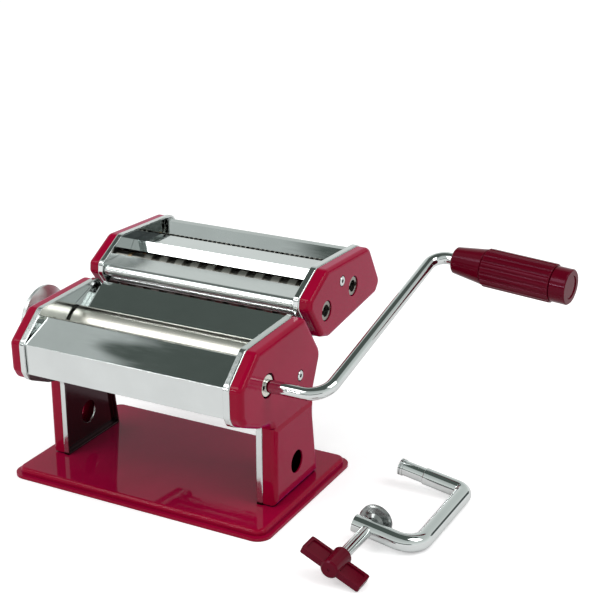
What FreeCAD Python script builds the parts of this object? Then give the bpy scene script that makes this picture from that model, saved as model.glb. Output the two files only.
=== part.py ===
import FreeCAD, Part
import math
import os

# Hand cranked pasta machine with a double cutter head and its table clamp.
# X runs along the rollers with the crank at +X, Y runs to the back, Z is up.
# The origin is the centre of the underside of the base. Lengths are in millimetres.

V = FreeCAD.Vector

# Base tray and its rubber pad
lip_length = 200.0
lip_width = 128.0
lip_thickness = 2.2
lip_corner = 10.0
plateau_margin = 3.25
plateau_corner = 7.0
base_height = 6.2
plateau_round = 2.2
least_corner = 0.4
tray_wall = 1.8
pad_gap = 0.3
tab_width = 12.0
tab_spread = 17.0
tab_reach = 10.0
tab_slot_gap = 0.2
tab_pocket_gap = 0.3

# Side plates
plate_face_x = 79.8
plate_sheet = 1.2
plate_flange = 4.3
plate_edge_round = 1.1

# Outline of the legs
foot_front_y = -29.8
foot_rear_y = 32.0
throat_drop = 15.4
throat_round = 7.0
waist_y = 24.0
waist_height = 53.8
waist_round = 35.0

# Outline of the head, as distances from the outside of the rollers
jaw_in = 4.9
jaw_drop = 12.1
jaw_round = 14.0
chin_ahead = 15.1
chin_drop = 2.9
chin_round = 7.0
nose_low_ahead = 18.6
nose_low_rise = 3.6
nose_low_round = 6.0
nose_high_ahead = 19.1
nose_high_drop = 5.9
nose_high_round = 6.0
brow_in = 2.4
brow_rise = 12.1
brow_round = 6.5
crown_back = 3.5
crown_rise = 14.1
crown_round = 6.5
bulge_back = 26.5
bulge_rise = 12.1
bulge_round = 11.0

# Painted side covers
cover_inset = 0.8
cover_depth = 8.5
cover_wall = 1.1
cover_round = 3.6
least_round = 0.2
round_share = 0.9
leg_step = 1.2
leg_step_run = 2.6
leg_step_height = 55.8
cover_hole_gap = 1.3

# Clamp holes through both legs
clamp_hole_radius = 8.0
clamp_hole_height = 21.0

# Front roller
front_roller_y = -35.9
roller_height = 89.2
roller_radius = 15.0
roller_end_chamfer = 0.6
journal_radius = 7.0
bush_gap = 0.05
bush_wall = 2.5
bush_flange = 1.3
bush_flange_extra = 1.6
bush_outer_lip = 0.4
end_play = 0.3

# Crank socket, the same on the front roller and on both driven cutters
socket_gap = 0.05
socket_depth = 16.0
socket_recess = 0.8
slot_gap = 0.15
slot_depth = 5.5

# Thickness setting
closest_gap = 0.3
eccentricity = 1.5
rest_angle = 150.0
setting_drop = 0.9
eccentric_land = 0.1
shaft_journal_radius = 4.4
roller_bush_wall = 2.9
roller_bush_length = 15.0
neck_wall = 1.6
neck_hole_gap = 0.9
setting_bush_wall = 2.5
setting_bush_flange = 1.2
clip_radius = 7.4
clip_thickness = 1.0
clip_groove_radius = 3.5
clip_mouth = 5.0

# Index plate and knob
index_radius = 22.0
index_thickness = 2.0
index_edge = 0.8
index_boss_wall = 3.55
index_boss_reach = 0.8
boss_hole_gap = 0.3
index_hole_inset = 2.0
index_hole_radius = 1.1
index_positions = 9
index_step = 15.0
index_start_angle = 60.0
rivet_count = 3
rivet_start_angle = 90.0
rivet_inset = 3.8
rivet_radius = 1.5
rivet_head_radius = 2.6
rivet_head_height = 0.9
knob_gap = 0.3
knob_neck_radius = 16.0
knob_waist_radius = 15.4
knob_rim_radius = 24.0
knob_neck_length = 13.5
knob_flare_length = 3.0
knob_rim_length = 6.0
knob_edge = 2.6
knob_bore_gap = 0.1
knob_floor = 6.5
knob_chamber_radius = 9.0
knob_pin_radius = 0.95
knob_pin_depth = 5.0
knob_pin_show = 0.15
knob_travel = 3.0
washer_gap = 0.6
washer_thickness = 1.2
knob_screw_head_radius = 5.0
knob_screw_head_height = 2.4
knob_screw_radius = 2.0
knob_screw_depth = 9.0
spring_wire = 1.0
spring_pitch = 1.17
spring_half_turns = 6
spring_gap = 0.5

# Gears of the rollers; tooth heights are in modules
gear_teeth = 15
tooth_top = 1.2
tooth_root = 1.35
gear_cover_gap = 1.8
gear_offset = 0.6
gear_thinning = 0.25
gear_seat_step = 0.8
pressure_angle = 20.0

# Front cover, rear guide, tie rods and scrapers
guide_sheet = 0.9
cover_low_in = 1.9
cover_low_drop = 1.4
cover_crease_in = 1.5
cover_crease_drop = 0.6
cover_lip_in = 0.8
cover_lip_drop = 5.9
lip_roll = 3.1
lip_fall = 1.0
chute_gap = 1.5
chute_angle = 117.0
hem_return = 5.0
rear_guide_top_up = 13.2
rear_guide_gap = 0.9
rear_guide_angle = 106.3
rod_gear_gap = 2.4
front_rod_drop = 2.4
low_rod_y = -6.0
low_rod_height = 61.8
rod_radius = 3.5
hook_rod_back = 6.0
hook_rod_drop = 2.4
hook_rod_radius = 4.0
rod_spigot_radius = 2.5
rod_head_radius = 3.8
rod_head_height = 1.0
scraper_gap = 0.4
scraper_sheet = 1.2
scraper_length = 13.5
scraper_tip_angle = 55.0
scraper_fall = 20.0
scraper_tab_length = 6.0

# Cover screws of the main body and the cutter head
screw_head_radius = 3.35
screw_head_height = 0.85
screw_head_edge = 0.3
screw_seat_gap = 0.6
screw_seat_depth = 0.55
screw_socket_radius = 1.45
screw_socket_depth = 1.6
screw_socket_sides = 6
screw_shank_radius = 2.0
screw_depth = 5.0
stud_radius = 3.5
right_screw_out = 1.44
right_screw_angle = -36.55
left_screw_gap = 4.33
left_screw_angle = -73.76
cutter_stud_radius = 3.2
cutter_right_screw_back = 50.2
cutter_right_screw_up = 24.1
cutter_left_screw_back = 57.0
cutter_left_screw_up = 28.5
shank_gap = 0.2

# Crank and grip
crank_rod_radius = 4.2
crank_elbow_x = 126.6
crank_elbow_bend = 15.0
crank_arm_length = 158.7
crank_arm_rise = 17.9
crank_arm_outward = 10.0
crank_grip_bend = 11.0
grip_lean = 0.113
grip_start = 15.5
grip_neck_length = 23.5
grip_edge = 0.8
grip_neck_start_radius = 9.2
grip_neck_end_radius = 12.25
grip_barrel_length = 49.5
grip_barrel_radius = 13.15
grip_flutes = 20
grip_flute_radius = 1.5
grip_flute_bite = 0.7
grip_collar_length = 11.5
grip_collar_radius = 12.0
grip_bore_gap = 0.1
grip_chamber_radius = 8.0
grip_chamber_depth = 10.0
grip_clip_inset = 1.4
grip_clip_thickness = 1.2
grip_clip_gap = 0.3
grip_clip_bite = 0.9
grip_rod_tail = 1.6
cap_thickness = 2.4
cap_recess = 0.6
crank_pin_radius = 1.3
crank_pin_show = 1.35

# Cutter head, placed from the hook rod
cutter_low_front_back = 20.5
cutter_low_front_up = -7.5
cutter_low_front_round = 5.0
cutter_front_back = 2.5
cutter_front_up = 17.0
cutter_front_round = 4.5
cutter_brow_back = 3.5
cutter_brow_up = 25.0
cutter_brow_round = 4.5
cutter_top_back = 28.5
cutter_top_up = 39.0
cutter_top_round = 8.0
cutter_crown_back = 95.0
cutter_crown_up = 36.4
cutter_crown_round = 9.0
cutter_tail_back = 113.5
cutter_tail_up = 5.5
cutter_tail_round = 7.0
cutter_heel_back = 106.5
cutter_heel_up = -3.0
cutter_heel_round = 6.0
cutter_belly_back = 32.0
cutter_belly_up = -11.0
cutter_belly_round = 8.0

# Cutter rollers
cutter_tilt = 6.8
wide_back = 26.9
wide_up = 10.3
narrow_back = 67.4
narrow_up = 15.1
cutter_spacing = 18.0
disc_bite = 2.0
groove_gap = 0.6
cutter_plain_end = 5.5
wide_step = 6.5
narrow_step = 2.0
disc_side_gap = 0.12
cutter_journal_radius = 4.0
cutter_bush_wall = 2.0
cutter_socket_wall = 2.25
cutter_gear_teeth = 12
cutter_tooth_top = 0.87
cutter_tooth_root = 1.4
cutter_gear_thinning = 0.2
cutter_gear_seat_step = 0.2

# Guides, hangers, rods and combs of the cutter head
front_roll_back = 8.5
front_roll_radius = 4.2
front_guide_rise = 2.9
front_guide_end_back = 29.3
ridge_front_ahead = 2.2
ridge_front_rise = 0.9
ridge_top_back = 47.5
ridge_top_up = 29.5
ridge_rear_back = 68.5
ridge_rear_up = 29.0
rear_slot_angle = 124.2
rear_slot_gap = 0.3
rear_ledge_back = 86.3
rear_ledge_up = 33.5
rear_edge_back = 90.3
rear_edge_up = 34.2
rear_skirt_back = 110.5
rear_skirt_up = 6.2
guide_turn_down = 1.8
guide_turn_back = 1.0
hanger_sheet = 2.5
hanger_gap = 0.2
hanger_slot_gap = 0.1
hanger_notch_gap = 0.5
hanger_crest = 1.2
hanger_upper_front = 3.0
hanger_upper_rise = 1.8
hanger_upper_rear = 3.5
hanger_upper_top = 3.8
hanger_waist_back = 5.2
hanger_waist_up = 7.0
hanger_lower_rear = 4.5
hanger_lower_top = 4.2
hanger_lower_drop = 3.2
hanger_corner = 0.8
cutter_rod_radius = 2.5
cutter_spigot_radius = 1.8
cutter_rod_head_radius = 2.8
upper_rod_back = 13.0
upper_rod_up = 12.0
lower_rod_back = 23.5
lower_rod_up = -2.8
rear_rod_back = 100.0
rear_rod_up = 4.0
comb_sheet = 1.0
comb_offset = 1.5
comb_gap = 0.4
comb_drop = 8.0

# Table clamp, lying at the right of the machine
clamp_rod_radius = 5.8
clamp_side_x = 189.8
clamp_far_y = 49.8
clamp_near_y = -32.9
clamp_far_bend = 6.0
clamp_near_bend = 14.0
clamp_far_arm = 48.3
clamp_near_arm = 42.6
clamp_end_reach = 19.0
clamp_end_radius = 5.2
clamp_ring_length = 3.6
clamp_ring_groove = 0.9
clamp_ring_land = 1.2
clamp_edge_round = 1.0
clamp_screw_offset = 32.7
clamp_screw_radius = 3.8
clamp_screw_gap = 0.05
clamp_screw_length = 42.9
clamp_tip_radius = 3.0
clamp_tip_length = 2.8
clamp_pad_radius = 11.2
clamp_pad_thickness = 5.2
clamp_pad_gap = 0.4
clamp_pad_dish = 2.0
clamp_pad_boss_radius = 4.6
clamp_pad_boss_base = 6.4
clamp_pad_boss_height = 1.8
clamp_pad_fall = 1.0
wing_hub_radius = 6.3
wing_hub_tip_radius = 5.9
wing_hub_length = 19.1
wing_gate_radius = 0.9
wing_gate_depth = 0.4
wing_span = 42.2
wing_width = 14.6
wing_thickness = 4.2
wing_offset = 0.9
wing_turn = 24.0
wing_corner = 1.5
wing_panel_depth = 0.9
wing_panel_margin = 2.2

# Sizes that follow from the ones above
plate_inner_x = plate_face_x - plate_sheet
flange_edge_x = plate_face_x - plate_flange
cover_face_x = plate_face_x + cover_depth
leg_face_x = cover_face_x + leg_step
socket_end_x = cover_face_x - socket_recess
roller_end_x = plate_inner_x - bush_flange - end_play
front_roller_z = base_height + roller_height
roller_top = roller_height + roller_radius
roller_bottom = roller_height - roller_radius
rollers_front_y = front_roller_y - roller_radius
rest_tilt = math.radians(rest_angle)
setting_y = (front_roller_y + 2 * roller_radius + closest_gap
             - eccentricity * math.cos(rest_tilt))
setting_z = front_roller_z - setting_drop
rear_roller_y = setting_y + eccentricity * math.cos(rest_tilt)
rear_roller_z = setting_z + eccentricity * math.sin(rest_tilt)
rear_widest_y = setting_y - eccentricity * math.cos(rest_tilt)
rollers_rear_y = rear_widest_y + roller_radius
throat_height = roller_bottom - throat_drop
nose_high_y = rollers_front_y - nose_high_ahead
bulge_y = rollers_rear_y + bulge_back
hook_rod_y = rollers_rear_y + hook_rod_back
hook_rod_z = base_height + roller_top - hook_rod_drop
gear_module = 2 * roller_radius / gear_teeth
gear_tip_radius = gear_module * (gear_teeth / 2 + tooth_top)
gear_root_radius = gear_module * (gear_teeth / 2 - tooth_root)
gear_near_x = plate_face_x + gear_offset
gear_far_x = cover_face_x - cover_wall - gear_cover_gap
gear_width = gear_far_x - gear_near_x
gear_seat_radius = journal_radius - gear_seat_step
socket_bore_radius = crank_rod_radius + socket_gap
slot_width = 2 * (crank_pin_radius + slot_gap)
crank_pin_half = crank_rod_radius + crank_pin_show
eccentric_radius = shaft_journal_radius + eccentricity + eccentric_land
disc_radius = (cutter_spacing + disc_bite) / 2
groove_radius = cutter_spacing - disc_radius - groove_gap
cutter_socket_radius = socket_bore_radius + cutter_socket_wall
cutter_gear_module = cutter_spacing / cutter_gear_teeth
cutter_gear_tip_radius = cutter_gear_module * (cutter_gear_teeth / 2 + cutter_tooth_top)
cutter_gear_root_radius = cutter_gear_module * (cutter_gear_teeth / 2 - cutter_tooth_root)
cutter_gear_seat_radius = cutter_journal_radius - cutter_gear_seat_step
toothed_length = 2 * (roller_end_x - cutter_plain_end)
wide_slots = int(toothed_length / wide_step + 0.001)
narrow_slots = int(toothed_length / narrow_step + 0.001)
clamp_rise = math.asin((clamp_pad_radius - clamp_rod_radius) / clamp_screw_offset)
clamp_screw_x = clamp_side_x - clamp_screw_offset * math.cos(clamp_rise)
clamp_screw_z = clamp_rod_radius + clamp_screw_offset * math.sin(clamp_rise)


# General shapes

def above(height):
    """Level of a height that is measured from the top of the base."""
    return base_height + height


def from_hook(back, up):
    """Point of the cutter head, measured from the hook rod."""
    return (hook_rod_y + back, hook_rod_z + up)


def box(x0, x1, y0, y1, z0, z1):
    """Box between two corners."""
    return Part.makeBox(x1 - x0, y1 - y0, z1 - z0, V(x0, y0, z0))


def rod_x(x0, x1, y, z, radius):
    """Round bar along X."""
    return Part.makeCylinder(radius, x1 - x0, V(x0, y, z), V(1, 0, 0))


def turned(profile, y, z):
    """Solid turned about a line along X from a closed profile of (x, radius) points."""
    points = [V(x, y + radius, z) for x, radius in profile]
    points.append(points[0])
    return Part.Face(Part.makePolygon(points)).revolve(V(0, y, z), V(1, 0, 0), 360)


def turned_along(profile, centre, direction):
    """Solid turned about any line from a closed profile of (distance, radius) points."""
    shape = turned(profile, 0, 0)
    shape.Placement = FreeCAD.Placement(centre, FreeCAD.Rotation(V(1, 0, 0), direction))
    return shape


def rounded_wire(corners, x):
    """Closed outline at one X from (y, z, corner radius) points."""
    edges = []
    spans = []
    count = len(corners)
    for index, (y, z, radius) in enumerate(corners):
        here = V(x, y, z)
        before = V(x, corners[index - 1][0], corners[index - 1][1]) - here
        after = V(x, corners[(index + 1) % count][0], corners[(index + 1) % count][1]) - here
        if radius <= 0:
            spans.append((here, None, here))
            continue
        half = before.getAngle(after) / 2
        run = min(radius / math.tan(half), 0.45 * before.Length, 0.45 * after.Length)
        bend = run * math.tan(half)
        before.normalize()
        after.normalize()
        middle = before + after
        middle.normalize()
        nearest = here + middle * (bend / math.sin(half) - bend)
        spans.append((here + before * run, nearest, here + after * run))
    for index in range(count):
        start, nearest, end = spans[index]
        if nearest is not None:
            edges.append(Part.Arc(start, nearest, end).toShape())
        following = spans[(index + 1) % count][0]
        edges.append(Part.LineSegment(end, following).toShape())
    return Part.Wire(edges)


def prism(corners, x0, x1):
    """Outline extruded from one X to another."""
    return Part.Face(rounded_wire(corners, x0)).extrude(V(x1 - x0, 0, 0))


def inset(corners, depth):
    """The same outline moved inward by a depth, with concentric corners."""
    count = len(corners)
    area = 0.0
    for index in range(count):
        first = corners[index - 1]
        second = corners[index]
        area += first[0] * second[1] - second[0] * first[1]
    turn = math.copysign(1.0, area)
    moved = []
    for index, (y, z, radius) in enumerate(corners):
        before = corners[index - 1]
        after = corners[(index + 1) % count]
        run_in = V(y - before[0], z - before[1], 0)
        run_out = V(after[0] - y, after[1] - z, 0)
        run_in.normalize()
        run_out.normalize()
        normal_in = V(-run_in.y, run_in.x, 0) * turn
        normal_out = V(-run_out.y, run_out.x, 0) * turn
        shift = (normal_in + normal_out) * (depth / (1 + normal_in.dot(normal_out)))
        convex = (run_in.x * run_out.y - run_in.y * run_out.x) * turn > 0
        bend = radius
        if radius > 0:
            bend = max(radius - depth, 0.0) if convex else radius + depth
        moved.append((y + shift.x, z + shift.y, bend))
    return moved


def round_face(block, x, radius):
    """Rounds every edge of the face that lies at one X."""
    edges = [edge for edge in block.Edges
             if all(abs(vertex.X - x) < 1e-6 for vertex in edge.Vertexes)]
    return block.makeFillet(radius, edges)


def smallest_round(corners):
    """Smallest rounded corner of an outline."""
    return min(corner[2] for corner in corners if corner[2] > 0)


def sheet(path, thickness, x0, x1):
    """Folded sheet along X: a path of (y, z) points with the sheet on its right-hand side."""
    offset = []
    for index, (y, z) in enumerate(path):
        normals = []
        if index > 0:
            run = V(y - path[index - 1][0], z - path[index - 1][1], 0)
            run.normalize()
            normals.append(V(run.y, -run.x, 0))
        if index < len(path) - 1:
            run = V(path[index + 1][0] - y, path[index + 1][1] - z, 0)
            run.normalize()
            normals.append(V(run.y, -run.x, 0))
        total = normals[0] + normals[-1]
        shift = total * (thickness / (1 + normals[0].dot(normals[-1])))
        offset.append((y + shift.x, z + shift.y))
    points = [V(x0, y, z) for y, z in list(path) + offset[::-1]]
    points.append(points[0])
    return Part.Face(Part.makePolygon(points)).extrude(V(x1 - x0, 0, 0))


def mirrored(shape):
    """The left-hand twin of a right-hand piece."""
    return shape.mirror(V(0, 0, 0), V(1, 0, 0))


def placed(side, shape):
    """A piece made for the right side, put on either side."""
    return shape if side > 0 else mirrored(shape)


def bent_rod(points, bends, radius):
    """Round rod through points, with a bend radius at each inner point."""
    pieces = []
    start = points[0]
    for index, bend in enumerate(bends):
        corner = points[index + 1]
        run_in = corner - points[index]
        run_out = points[index + 2] - corner
        run_in.normalize()
        run_out.normalize()
        turn = run_in.getAngle(run_out)
        tangent = bend * math.tan(turn / 2)
        arc_start = corner - run_in * tangent
        arc_end = corner + run_out * tangent
        pieces.append(Part.makeCylinder(radius, (arc_start - start).Length, start, run_in))
        inward = run_out - run_in * run_out.dot(run_in)
        inward.normalize()
        centre = arc_start + inward * bend
        disc = Part.Face(Part.Wire(Part.makeCircle(radius, arc_start, run_in)))
        pieces.append(disc.revolve(centre, run_in.cross(run_out), math.degrees(turn)))
        start = arc_end
    last = points[-1] - start
    pieces.append(Part.makeCylinder(radius, last.Length, start, last))
    return pieces[0].fuse(pieces[1:]).removeSplitter()


def flanged_bush(y, z, bore, wall, flange, flange_extra):
    """Bush in the right-hand plate with its flange inside."""
    outer = bore + wall
    profile = [(plate_inner_x - flange, bore), (plate_inner_x - flange, outer + flange_extra),
               (plate_inner_x, outer + flange_extra), (plate_inner_x, outer),
               (plate_face_x + bush_outer_lip, outer), (plate_face_x + bush_outer_lip, bore)]
    return turned(profile, y, z)


def riveted_rod(y, z, radius, spigot, head):
    """Rod between both plates, with spigots through them and riveted heads outside."""
    outer = plate_face_x + rod_head_height
    half = [(plate_inner_x, radius), (plate_inner_x, spigot), (plate_face_x, spigot),
            (plate_face_x, head), (outer, head), (outer, 0)]
    profile = half + [(-x, r) for x, r in half[::-1]]
    return turned(profile, y, z)


def involute(angle):
    return math.tan(angle) - angle


def gear_face(teeth, module, tip, root, thinning, x, y, z, phase):
    """Face of a spur gear with involute flanks, with one tooth pointing along the phase angle."""
    pitch = teeth * module / 2
    pressure = math.radians(pressure_angle)
    base = pitch * math.cos(pressure)
    half_at_pitch = math.pi / (2 * teeth) - thinning / (2 * pitch)

    def half_angle(radius):
        return half_at_pitch + involute(pressure) - involute(math.acos(min(1.0, base / radius)))

    def at(radius, angle):
        return V(x, y + radius * math.cos(angle), z + radius * math.sin(angle))

    middle = (base + tip) / 2
    step = 2 * math.pi / teeth
    edges = []
    for tooth in range(teeth):
        centre = math.radians(phase) + tooth * step
        low = half_angle(base)
        mid = half_angle(middle)
        top = half_angle(tip)
        rise = [at(root, centre - low), at(base, centre - low), at(middle, centre - mid),
                at(tip, centre - top)]
        fall = [at(tip, centre + top), at(middle, centre + mid), at(base, centre + low),
                at(root, centre + low)]
        edges.append(Part.LineSegment(rise[0], rise[1]).toShape())
        edges.append(Part.Arc(rise[1], rise[2], rise[3]).toShape())
        edges.append(Part.Arc(rise[3], at(tip, centre), fall[0]).toShape())
        edges.append(Part.Arc(fall[0], fall[1], fall[2]).toShape())
        edges.append(Part.LineSegment(fall[2], fall[3]).toShape())
        edges.append(Part.Arc(fall[3], at(root, centre + step / 2),
                              at(root, centre + step - low)).toShape())
    return Part.Face(Part.Wire(edges))


def spur_gear(teeth, module, tip, root, thinning, bore, y, z, phase):
    """Gear on the left-hand side, outside the side plate."""
    face = gear_face(teeth, module, tip, root, thinning, -gear_far_x, y, z, phase)
    blank = face.extrude(V(gear_width, 0, 0))
    return blank.cut(rod_x(-gear_far_x - 1, -gear_near_x + 1, y, z, bore))


def crank_socket_slot(y, z):
    """Keyways for the crank's cross pin inside the mouth of a socket."""
    reach = crank_pin_half + slot_gap
    return box(socket_end_x - slot_depth, socket_end_x + 1, y - reach, y + reach,
               z - slot_width / 2, z + slot_width / 2)


def save(node, *solids):
    """Writes one named piece, or one named group of equal pieces."""
    shape = solids[0] if len(solids) == 1 else Part.makeCompound(list(solids))
    shape.exportStep("parts/" + node + ".step")


os.makedirs("parts", exist_ok=True)

nose_low = (rollers_front_y - nose_low_ahead, above(roller_bottom + nose_low_rise))
nose_high = (nose_high_y, above(roller_top - nose_high_drop))
brow = (rollers_front_y + brow_in, above(roller_top + brow_rise))
side_outline = [
    (foot_front_y, above(0), 0),
    (foot_front_y, above(throat_height), throat_round),
    (rollers_front_y + jaw_in, above(roller_bottom - jaw_drop), jaw_round),
    (rollers_front_y - chin_ahead, above(roller_bottom - chin_drop), chin_round),
    nose_low + (nose_low_round,),
    nose_high + (nose_high_round,),
    brow + (brow_round,),
    (rollers_rear_y + crown_back, above(roller_top + crown_rise), crown_round),
    (bulge_y, above(roller_bottom + bulge_rise), bulge_round),
    (waist_y, above(waist_height), waist_round),
    (foot_rear_y, above(0), 0),
]

cutter_outline = [
    from_hook(cutter_low_front_back, cutter_low_front_up) + (cutter_low_front_round,),
    from_hook(cutter_front_back, cutter_front_up) + (cutter_front_round,),
    from_hook(cutter_brow_back, cutter_brow_up) + (cutter_brow_round,),
    from_hook(cutter_top_back, cutter_top_up) + (cutter_top_round,),
    from_hook(cutter_crown_back, cutter_crown_up) + (cutter_crown_round,),
    from_hook(cutter_tail_back, cutter_tail_up) + (cutter_tail_round,),
    from_hook(cutter_heel_back, cutter_heel_up) + (cutter_heel_round,),
    from_hook(cutter_belly_back, cutter_belly_up) + (cutter_belly_round,),
]

tilt = math.radians(cutter_tilt)
step_back = cutter_spacing * math.cos(tilt)
step_up = cutter_spacing * math.sin(tilt)
wide_driven = from_hook(wide_back, wide_up)
wide_mate = (wide_driven[0] + step_back, wide_driven[1] + step_up)
narrow_driven = from_hook(narrow_back, narrow_up)
narrow_mate = (narrow_driven[0] + step_back, narrow_driven[1] + step_up)


# Base tray and rubber pad

def rounded_block(length, width, corner, z0, z1):
    """Block centred on the origin with rounded upright edges."""
    block = box(-length / 2, length / 2, -width / 2, width / 2, z0, z1)
    upright = [edge for edge in block.Edges
               if abs(edge.Vertexes[0].Z - edge.Vertexes[-1].Z) > (z1 - z0) / 2]
    return block.makeFillet(corner, upright)


plateau_length = lip_length - 2 * plateau_margin
plateau_width = lip_width - 2 * plateau_margin
pocket_length = plateau_length - 2 * tray_wall
pocket_width = plateau_width - 2 * tray_wall
pocket_corner = max(plateau_corner - tray_wall, pad_gap + least_corner)
ceiling = base_height - tray_wall
tab_middles = (-tab_spread, tab_spread)


def tray():
    plateau = rounded_block(plateau_length, plateau_width, plateau_corner, 0, base_height)
    top = [edge for edge in plateau.Edges
           if all(abs(vertex.Z - base_height) < 1e-6 for vertex in edge.Vertexes)]
    plateau = plateau.makeFillet(plateau_round, top)
    lip = rounded_block(lip_length, lip_width, lip_corner, 0, lip_thickness)
    body = plateau.fuse(lip)
    body = body.cut(rounded_block(pocket_length, pocket_width, pocket_corner, -1, ceiling))
    for side in (-1, 1):
        for middle in tab_middles:
            near = plate_inner_x - tab_slot_gap
            far = plate_face_x + tab_slot_gap
            half = tab_width / 2 + tab_slot_gap
            slot = box(near, far, middle - half, middle + half, 0, base_height + 1)
            body = body.cut(placed(side, slot))
    return body


def pad():
    body = rounded_block(pocket_length - 2 * pad_gap, pocket_width - 2 * pad_gap,
                         pocket_corner - pad_gap, 0, ceiling)
    for side in (-1, 1):
        for middle in tab_middles:
            half = tab_width / 2 + tab_pocket_gap
            pocket = box(plate_face_x - tab_reach - tab_pocket_gap, plate_face_x + tab_pocket_gap,
                         middle - half, middle + half,
                         ceiling - plate_sheet - tab_pocket_gap, ceiling + 1)
            body = body.cut(placed(side, pocket))
    return body


save("base_tray", tray())
save("base_pad", pad())


# Side plates of the main body and of the cutter head

def flanged_plate(outline):
    """Pressed plate with a flange turned inward all round, on the right-hand side."""
    block = round_face(prism(outline, flange_edge_x, plate_face_x), plate_face_x,
                       plate_edge_round)
    return block.cut(prism(inset(outline, plate_sheet), flange_edge_x - 1, plate_inner_x))


def foot_tabs():
    """Tabs that pass through the base and fold inward under its top."""
    tabs = []
    for middle in tab_middles:
        half = tab_width / 2
        upright = box(plate_inner_x, plate_face_x, middle - half, middle + half,
                      ceiling - plate_sheet, base_height + plate_sheet)
        fold = box(plate_face_x - tab_reach, plate_face_x, middle - half, middle + half,
                   ceiling - plate_sheet, ceiling)
        tabs += [upright, fold]
    return tabs


def hole(y, z, radius):
    """Cutter for a round hole through everything outside the flanges of one side."""
    return rod_x(flange_edge_x - 1, leg_face_x + 1, y, z, radius)


front_rod_y = front_roller_y - gear_tip_radius - rod_head_radius - rod_gear_gap
rod_places = [
    (front_rod_y, front_roller_z - front_rod_drop, rod_radius),
    (low_rod_y, above(low_rod_height), rod_radius),
    (hook_rod_y, hook_rod_z, hook_rod_radius),
]


def scraper(centre_y, centre_z, way):
    """Blade under a roller; way is -1 at the front and +1 at the back."""
    tip = math.radians(scraper_tip_angle)
    reach = roller_radius + scraper_gap
    tip_y = centre_y + way * reach * math.cos(tip)
    tip_z = centre_z - reach * math.sin(tip)
    fall = math.radians(scraper_fall)
    along = V(0, way * math.cos(fall), -math.sin(fall))
    down = V(0, -way * math.sin(fall), -math.cos(fall))
    start = V(0, tip_y, tip_z)

    def strip(run0, run1, half):
        points = [start + along * run0, start + along * run1,
                  start + along * run1 + down * scraper_sheet,
                  start + along * run0 + down * scraper_sheet]
        points = [point - V(half, 0, 0) for point in points]
        points.append(points[0])
        return Part.Face(Part.makePolygon(points)).extrude(V(2 * half, 0, 0))

    middle = scraper_length / 2
    blade = strip(0, scraper_length, plate_inner_x)
    tabs = strip(middle - scraper_tab_length / 2, middle + scraper_tab_length / 2, plate_face_x)
    return blade.fuse(tabs).removeSplitter(), tabs


front_blade, front_tabs = scraper(front_roller_y, front_roller_z, -1)
rear_blade, rear_tabs = scraper(rear_widest_y, rear_roller_z, 1)

journal_bush_radius = journal_radius + bush_gap + bush_wall
setting_bush_bore = shaft_journal_radius + bush_gap
setting_bush_radius = setting_bush_bore + setting_bush_wall
roller_bush_outer = eccentric_radius + bush_gap + roller_bush_wall
roller_bore = roller_bush_outer + bush_gap
neck_radius = roller_bore + neck_wall
neck_hole_radius = neck_radius + eccentricity + neck_hole_gap
neck_hole_z = setting_z + eccentricity * (1 + math.sin(rest_tilt)) / 2
index_boss_radius = setting_bush_bore + index_boss_wall


def side_plate(side):
    plate = flanged_plate(side_outline).fuse(foot_tabs()).removeSplitter()
    plate = plate.cut(hole(front_roller_y, front_roller_z, journal_bush_radius))
    plate = plate.cut(hole(0, above(clamp_hole_height), clamp_hole_radius))
    if side > 0:
        plate = plate.cut(hole(setting_y, setting_z, setting_bush_radius))
    else:
        plate = plate.cut(hole(setting_y, neck_hole_z, neck_hole_radius))
    for y, z, radius in rod_places:
        plate = plate.cut(hole(y, z, rod_spigot_radius))
    return placed(side, plate).cut(front_tabs).cut(rear_tabs)


right_plate = side_plate(1)
left_plate = side_plate(-1)
save("side_plate_right", right_plate)
save("side_plate_left", left_plate)
save("tie_rods", *[riveted_rod(y, z, radius, rod_spigot_radius, rod_head_radius)
                   for y, z, radius in rod_places])
save("front_scraper", front_blade)
save("rear_scraper", rear_blade)


# Painted covers of the main body and of the cutter head

def pressed_cover(outline, step_z):
    """Pressed shell over the outside of one plate; below step_z it stands out further."""
    outer = inset(outline, cover_inset)
    inner = inset(outer, cover_wall)
    bend = min(cover_round, round_share * smallest_round(outer))
    hollow_bend = min(max(bend - cover_wall, least_round), round_share * smallest_round(inner))
    shell = round_face(prism(outer, plate_face_x, cover_face_x), cover_face_x, bend)
    room = round_face(prism(inner, plate_face_x - 1, cover_face_x - cover_wall),
                      cover_face_x - cover_wall, hollow_bend)
    if step_z is not None:
        leg = round_face(prism(outer, plate_face_x, leg_face_x), leg_face_x, bend)
        beyond = step_z - leg_step_run * (leg_step + 1) / leg_step
        points = [(plate_face_x, 0), (leg_face_x + 1, 0), (leg_face_x + 1, beyond),
                  (cover_face_x, step_z), (plate_face_x, step_z)]
        wedge = [V(x, nose_high_y - 1, z) for x, z in points]
        wedge.append(wedge[0])
        length = bulge_y - nose_high_y + 2
        below = Part.Face(Part.makePolygon(wedge)).extrude(V(0, length, 0))
        shell = shell.fuse(leg.common(below))
        leg_room = round_face(prism(inner, plate_face_x - 1, leg_face_x - cover_wall),
                              leg_face_x - cover_wall, hollow_bend)
        wedge_room = below.translated(V(-cover_wall, 0, -cover_wall))
        room = room.fuse(leg_room.common(wedge_room))
    return shell.cut(room).removeSplitter()


def screw_seat(cover, y, z):
    """Hole for a screw in a right-hand cover, sunk a little for the head."""
    sunk = rod_x(cover_face_x - screw_seat_depth, cover_face_x + 1, y, z,
                 screw_head_radius + screw_seat_gap)
    return cover.cut(sunk).cut(hole(y, z, screw_shank_radius + shank_gap))


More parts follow.
